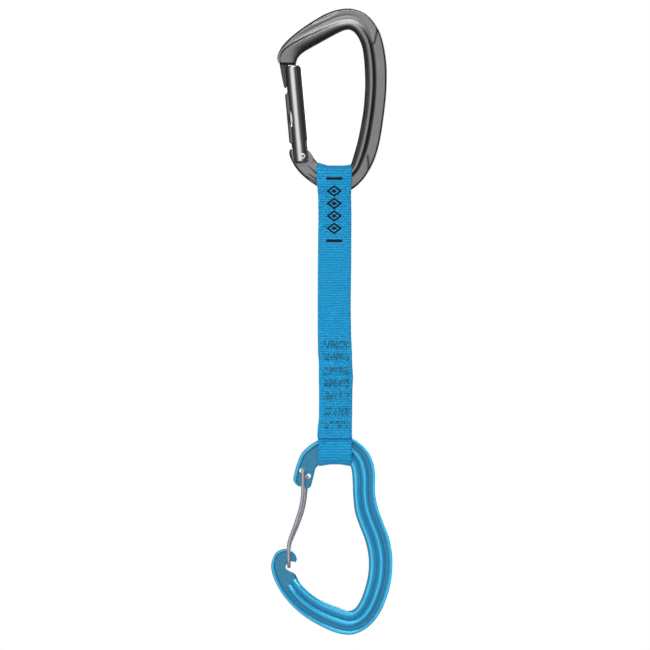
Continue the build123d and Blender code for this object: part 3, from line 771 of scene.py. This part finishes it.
def strap(name, route, sewn=True):
    """A strap along a route of (Y, Z) points, pinched at its edges by each bar tack it passes.

    Each point keeps its place at rest and how far along the strip it lies, for the weave."""
    points = [Vector((0, y, z)) for y, z in smooth_through(route, 10)]
    rings, travelled, runs = [], route[0][1], {}
    for number, point in enumerate(points):
        ahead = (points[min(number + 1, len(points) - 1)] - points[max(number - 1, 0)]).normalized()
        out = Vector((0, -ahead.z, ahead.y))
        if number:
            travelled += (point - points[number - 1]).length
        pinch = sum(math.exp(-((point.z - z) / 2.3) ** 2) for z in TACK_Z) if sewn else 0
        half_width = between(point.z, [(z, half) for z, _, half in STRAP_LINE])
        half_width += 0.16 - 0.32 * pinch + 0.06 * math.sin(point.z * 2.1)
        middle = between(point.z, [(z, line) for z, line, _ in STRAP_LINE])
        top = ramp(point.z, -79.5, -75.0)
        bottom = 1 - ramp(point.z, -237.8, -233.5)
        ring = []
        for across, thick in strap_section():
            ear = 1.7 * ramp(-across, 0.25, 1.0) + 0.5 * ramp(across, 0.45, 1.0)
            droop = -0.9 * ramp(abs(across), 0.2, 1.0)
            x = middle + across * half_width - 0.4 * top * ramp(-across, 0.5, 1.0)
            place = point + out * (thick * STRAP_HALF_THICKNESS)
            ring.append(Vector((x, place.y, place.z + ear * top + droop * bottom)) * MM)
            runs[tuple(ring[-1])] = travelled * MM
        rings.append(ring)
    skin = loft(rings)
    rest_place = skin.verts.layers.float_vector.new("rest_place")
    run = skin.verts.layers.float.new("run")
    for vert in skin.verts:
        vert[rest_place] = vert.co
        vert[run] = runs[tuple(vert.co)]
    return make_object(name, skin, 60)


EYE_FRONT = [(-1.05, -125.0), (-1.05, -118.0), (-1.15, -110.0), (-2.0, -101.0), (-3.9, -92.5),
             (-5.5, -86.0), (-5.9, -81.5), (-4.9, -77.6), (-2.6, -75.9), (0.0, -75.6)]
upper_eye = strap("webbing_upper_eye", EYE_FRONT + [(-y, z) for y, z in EYE_FRONT[-2::-1]])
MIDDLE = [(2.1, -186.0), (2.1, -176.0), (2.0, -168.0), (1.4, -158.0), (1.05, -146.0), (1.05, -135.0),
          (1.05, -125.0)]
front_middle = strap("webbing_front", [(-y, z) for y, z in MIDDLE])
back_middle = strap("webbing_back", MIDDLE[::-1])
LOWER_EYE = [(2.1, -186.0), (2.1, -198.0), (2.15, -208.0), (2.7, -215.0), (4.2, -221.5), (5.3, -227.5),
             (5.5, -232.5), (4.4, -236.3), (2.2, -237.7), (0.0, -238.0), (-2.2, -237.7), (-4.4, -236.3),
             (-5.5, -232.5), (-5.3, -227.5), (-4.0, -222.0), (-1.6, -216.0), (-0.3, -210.0), (0.0, -200.0),
             (0.0, -186.0), (0.0, -168.5)]
lower_eye = strap("webbing_lower_eye", LOWER_EYE, False)
FLAP = [(-6.75, -224.4), (-5.9, -221.0), (-3.8, -215.5), (-2.4, -209.5), (-2.1, -200.0), (-2.1, -186.0)]
front_flap = strap("webbing_flap", FLAP)

# Webbing finish: weft ribs across the strap, warp ends along it, and a printed black motif of
# diamonds and bars near the top of the front face.
weave = bpy.data.node_groups.new("webbing weave", "ShaderNodeTree")
group_socket(weave, "Base", "OUTPUT", "NodeSocketColor")
group_socket(weave, "Height", "OUTPUT", "NodeSocketFloat")
w = weave.nodes
wire = weave.links.new
weave_out = w.new("NodeGroupOutput")
weave_in = w.new("ShaderNodeAttribute")
weave_in.attribute_name = "rest_place"
along_strap = w.new("ShaderNodeAttribute")
along_strap.attribute_name = "run"
split = w.new("ShaderNodeSeparateXYZ")
wire(weave_in.outputs["Vector"], split.inputs[0])

RIB_PITCH = 0.0014
END_PITCH = 0.0011
wobble = w.new("ShaderNodeTexNoise")
wobble.inputs["Scale"].default_value = 420
wire(weave_in.outputs["Vector"], wobble.inputs["Vector"])
rib_phase = maths(weave, "MULTIPLY", along_strap.outputs["Fac"], 2 * math.pi / RIB_PITCH)
rib_phase = maths(weave, "MULTIPLY_ADD", wobble.outputs["Fac"], 1.8, rib_phase)
end_phase = maths(weave, "MULTIPLY", split.outputs["X"], 2 * math.pi / END_PITCH)
end_phase = maths(weave, "MULTIPLY_ADD", wobble.outputs["Fac"], 2.0, end_phase)
rib_wave = maths(weave, "SINE", rib_phase)
end_wave = maths(weave, "SINE", end_phase)
crossing = maths(weave, "MULTIPLY", rib_wave, end_wave)
height = maths(weave, "MULTIPLY_ADD", rib_wave, 0.6, crossing)
wire(height, weave_out.inputs["Height"])
# The weave's low places are painted darker and its high places lighter, as shade between the ribs; random
# blotches of tone are added next.
shade = maths(weave, "MULTIPLY_ADD", height, 0.34, 0.5)
blotch = w.new("ShaderNodeTexNoise")
blotch.inputs["Scale"].default_value = 1500
blotch.inputs["Detail"].default_value = 3
blotch.inputs["Roughness"].default_value = 0.65
wire(weave_in.outputs["Vector"], blotch.inputs["Vector"])
shade = maths(weave, "MULTIPLY_ADD", blotch.outputs["Fac"], 2.4, shade)
shade = maths(weave, "SUBTRACT", shade, 1.2)
blue = w.new("ShaderNodeValToRGB")
blue.color_ramp.elements[0].position = 0.15
blue.color_ramp.elements[0].color = (0.002, 0.15, 0.38, 1)
blue.color_ramp.elements[1].position = 0.85
blue.color_ramp.elements[1].color = (0.018, 0.54, 1.0, 1)
wire(shade, blue.inputs["Fac"])
wire(blue.outputs["Color"], weave_out.inputs["Base"])

MOTIF_X = -7.85
MOTIF_TOP = -82.0
MOTIF_BOTTOM = -116.0
MOTIF_PITCH = 6.8
MOTIF_HALF_WIDTH = 4.4
DIAMOND_REACH = 2.65
DIAMOND_LINE = 0.62
DOT_REACH = 1.15
BAR_HALF = 0.75


def webbing_material(name, printed):
    """The webbing's finish, with or without the printed motif."""
    made = bpy.data.materials.new(name)
    made.use_nodes = True
    tree = made.node_tree
    shader = tree.nodes["Principled BSDF"]
    cloth = tree.nodes.new("ShaderNodeGroup")
    cloth.node_tree = weave
    bump_node = tree.nodes.new("ShaderNodeBump")
    bump_node.inputs["Strength"].default_value = 0.55
    bump_node.inputs["Distance"].default_value = 0.00016
    tree.links.new(cloth.outputs["Height"], bump_node.inputs["Height"])
    tree.links.new(bump_node.outputs["Normal"], shader.inputs["Normal"])
    shader.inputs["Roughness"].default_value = 0.72
    shader.inputs["Sheen Weight"].default_value = 0.25
    shader.inputs["Sheen Roughness"].default_value = 0.4
    shader.inputs["Sheen Tint"].default_value = (0.55, 0.8, 1.0, 1)
    shader.inputs["Specular IOR Level"].default_value = 0.3
    if not printed:
        tree.links.new(cloth.outputs["Base"], shader.inputs["Base Color"])
        return made
    places = tree.nodes.new("ShaderNodeAttribute")
    places.attribute_name = "rest_place"
    axes = tree.nodes.new("ShaderNodeSeparateXYZ")
    tree.links.new(places.outputs["Vector"], axes.inputs[0])
    x = maths(tree, "ABSOLUTE", maths(tree, "SUBTRACT", axes.outputs["X"], MOTIF_X * MM))
    z = axes.outputs["Z"]
    cell = maths(tree, "PINGPONG", maths(tree, "SUBTRACT", z, MOTIF_TOP * MM), MOTIF_PITCH / 2 * MM)
    slant = maths(tree, "ADD", maths(tree, "MULTIPLY", x, 0.75), cell)
    off_ring = maths(tree, "ABSOLUTE", maths(tree, "SUBTRACT", slant, DIAMOND_REACH * MM))
    ring_near = maths(tree, "LESS_THAN", off_ring, DIAMOND_LINE * MM)
    dot = maths(tree, "LESS_THAN", slant, DOT_REACH * MM)
    diamonds = maths(tree, "MAXIMUM", ring_near, dot)
    narrow = maths(tree, "LESS_THAN", x, MOTIF_HALF_WIDTH * MM)
    inside = maths(tree, "MULTIPLY", maths(tree, "LESS_THAN", z, (MOTIF_TOP - 2.8) * MM),
                   maths(tree, "GREATER_THAN", z, (MOTIF_BOTTOM + 3.2) * MM))
    motif = maths(tree, "MULTIPLY", maths(tree, "MULTIPLY", diamonds, narrow), inside)
    for bar_z in (MOTIF_TOP, MOTIF_BOTTOM):
        off_bar = maths(tree, "ABSOLUTE", maths(tree, "SUBTRACT", z, bar_z * MM))
        level = maths(tree, "LESS_THAN", off_bar, BAR_HALF * MM)
        motif = maths(tree, "MAXIMUM", motif, maths(tree, "MULTIPLY", level, narrow))
    facing = maths(tree, "LESS_THAN", axes.outputs["Y"], -1.6 * MM)
    motif = maths(tree, "MULTIPLY", motif, facing)
    black_print = (0.006, 0.010, 0.016, 1)
    tree.links.new(mixed(tree, motif, cloth.outputs["Base"], black_print), shader.inputs["Base Color"])
    return made


plain_webbing = webbing_material("ribbed blue webbing", False)
printed_webbing = webbing_material("ribbed blue webbing with motif", True)
dress(upper_eye, printed_webbing)
for piece in (front_middle, back_middle, lower_eye, front_flap):
    dress(piece, plain_webbing)
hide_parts("sling_upper")
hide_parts("sling_lower")
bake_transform(upper_eye)
for piece in (front_middle, back_middle):
    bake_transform(piece)
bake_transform(lower_eye)
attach(front_flap, "sling_lower")

# ---------------------------------------------------------------------------------------------
# Bar tacks: seven short dense bars of zigzag thread, sewn right through the three layers, in
# dull olive and teal thread that pulls the webbing in.
# ---------------------------------------------------------------------------------------------
STITCHES = 13
TACK_WIDTH = 12.8
SCATTER_X = 0.15
SCATTER_Z = 0.25
THREAD_RADII = (0.33, 0.34)
SKIPPED = 0.12
TEAL_SHARE = 0.35
TACK_FACES = ((-1, FLAP), (1, LOWER_EYE[:6]))
STITCH_ROWS = (-1.45, 0.0, 1.45)


def face_level(route, z):
    """How far a face of the sewn strap stands from its middle at a height."""
    levels = sorted((point_z, abs(y)) for y, point_z in route)
    return between(z, levels) + STRAP_HALF_THICKNESS


tack_materials = []
for tack_name, dark, light in (("olive thread", (0.008, 0.035, 0.04), (0.06, 0.11, 0.09)),
                               ("teal thread", (0.01, 0.20, 0.38), (0.02, 0.34, 0.60))):
    thread = metal(tack_name, dark, light, 0.7, bump_strength=0.3, grain=4000.0, metallic=0.0)
    tack_materials.append(thread)
for number, tack_z in enumerate(TACK_Z, start=1):
    threads = bmesh.new()
    for face_side, route in TACK_FACES:
        for row, stitch in ((row, stitch) for row in STITCH_ROWS for stitch in range(STITCHES)):
            x = TACK_X + TACK_WIDTH * (stitch / (STITCHES - 1) - 0.5) + random.uniform(-SCATTER_X, SCATTER_X)
            z = tack_z + row + random.uniform(-SCATTER_Z, SCATTER_Z)
            tilt = random.uniform(0.25, 0.55) * (-1 if stitch % 2 else 1)
            if random.random() < SKIPPED:
                continue
            made = bmesh.ops.create_uvsphere(threads, u_segments=6, v_segments=5, radius=MM)["verts"]
            bmesh.ops.scale(threads, vec=(*THREAD_RADII, random.uniform(0.6, 0.85)), verts=made)
            for vert in made:
                vert.co.x += tilt * vert.co.z
                slope = face_level(route, z + vert.co.z / MM) - face_level(route, z)
                vert.co.y += face_side * slope * MM
            y = face_side * (face_level(route, z) + 0.04)
            bmesh.ops.translate(threads, verts=made, vec=(x * MM, y * MM, z * MM))
            colour = 1 if random.random() < TEAL_SHARE else 0
            for face in {f for v in made for f in v.link_faces}:
                face.material_index = colour
    tack = make_object(f"bar_tack_thread_{number}", threads, 80)
    for material in tack_materials:
        tack.data.materials.append(material)
    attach(tack, "sling_lower")
    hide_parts(f"bar_tack_{number}")

# ---------------------------------------------------------------------------------------------
# Studio: surroundings that look white to the camera, and for the reflections a bright patch in
# front with dark sides; softboxes all round, and a pale floor well below the hanging draw.
# ---------------------------------------------------------------------------------------------
world = bpy.data.worlds.new("studio")
bpy.context.scene.world = world
world.use_nodes = True
tree = world.node_tree
seen = tree.nodes["Background"]
seen.inputs["Color"].default_value = (1, 1, 1, 1)
seen.inputs["Strength"].default_value = 1.0
around = tree.nodes.new("ShaderNodeBackground")
around.inputs["Strength"].default_value = 1.0
sky = tree.nodes.new("ShaderNodeTexCoord")
sky_tone = tree.nodes.new("ShaderNodeValToRGB")
sky_tone.color_ramp.elements[0].position = 0.0
sky_tone.color_ramp.elements[0].color = (1.05, 1.05, 1.06, 1)
sky_tone.color_ramp.elements[1].position = 1.0
sky_tone.color_ramp.elements[1].color = (0.35, 0.35, 0.36, 1)
for place, level in ((0.02, 1.0), (0.055, 0.45), (0.1, 0.2), (0.17, 0.1), (0.3, 0.04), (0.66, 0.03),
                     (0.88, 0.12)):
    sky_tone.color_ramp.elements.new(place).color = (level, level, level * 1.02, 1)
# The bright patch lies a little left of the camera.
lean = tree.nodes.new("ShaderNodeVectorMath")
lean.operation = "DOT_PRODUCT"
lean.inputs[1].default_value = (0.225, 0.974, 0.0)
tree.links.new(sky.outputs["Generated"], lean.inputs[0])
toward = maths(tree, "MULTIPLY_ADD", lean.outputs["Value"], 0.5, 0.5)
tree.links.new(toward, sky_tone.inputs["Fac"])
tree.links.new(sky_tone.outputs["Color"], around.inputs["Color"])
rays = tree.nodes.new("ShaderNodeLightPath")
choose = tree.nodes.new("ShaderNodeMixShader")
tree.links.new(rays.outputs["Is Camera Ray"], choose.inputs[0])
tree.links.new(around.outputs[0], choose.inputs[1])
tree.links.new(seen.outputs[0], choose.inputs[2])
tree.links.new(choose.outputs[0], tree.nodes["World Output"].inputs["Surface"])

CENTRE = Vector((-0.0129, 0, -0.1623))


def softbox(name, offset, width, height, watts, glints=True):
    """An area light that faces the middle of the draw."""
    data = bpy.data.lights.new(name, "AREA")
    data.shape = "RECTANGLE"
    data.size = width
    data.size_y = height
    data.energy = watts
    lamp = bpy.data.objects.new(name, data)
    bpy.context.scene.collection.objects.link(lamp)
    lamp.location = CENTRE + Vector(offset)
    lamp.rotation_euler = (-Vector(offset)).to_track_quat("-Z", "Y").to_euler()
    lamp.visible_glossy = glints


softbox("left_front_softbox", (-1.03, -1.47, 0.1), 1.1, 1.6, 11.5, glints=False)
softbox("top_front_softbox", (0.1, -1.1, 1.25), 1.4, 0.7, 11)
softbox("right_strip", (1.5, -0.6, 0.2), 0.2, 1.4, 1.5, glints=False)
softbox("back_softbox", (0.7, 1.5, 0.3), 1.1, 1.6, 13)
softbox("right_side_lamp", (1.5, 0.5, 0.6), 0.35, 0.35, 9, glints=False)
softbox("left_side_lamp", (-1.5, 0.5, 0.6), 0.35, 0.35, 9, glints=False)

floor_skin = bmesh.new()
FLOOR_Z = -0.42
bmesh.ops.create_circle(floor_skin, cap_ends=True, segments=96, radius=0.5)
bmesh.ops.translate(floor_skin, verts=floor_skin.verts, vec=(CENTRE.x, 0, FLOOR_Z))
floor = make_object("floor", floor_skin)
floor_finish = metal("pale floor", (0.80, 0.80, 0.79), (0.84, 0.84, 0.83), 0.8, bump_strength=0.05,
                     grain=300.0, metallic=0.0)
floor.data.materials.append(floor_finish)
floor.visible_glossy = False

VIEW_HEIGHT = 0.3575
CAMERA_DISTANCE = 2.2
camera_data = bpy.data.cameras.new("camera")
camera_data.sensor_width = 36
camera_data.lens = camera_data.sensor_width * CAMERA_DISTANCE / VIEW_HEIGHT
camera_data.clip_end = 20
camera = bpy.data.objects.new("camera", camera_data)
bpy.context.scene.collection.objects.link(camera)
camera.location = CENTRE + Vector((0, -CAMERA_DISTANCE, 0))
camera.rotation_euler = (math.radians(90), 0, 0)
bpy.context.scene.camera = camera
bpy.context.scene.view_settings.view_transform = "Standard"
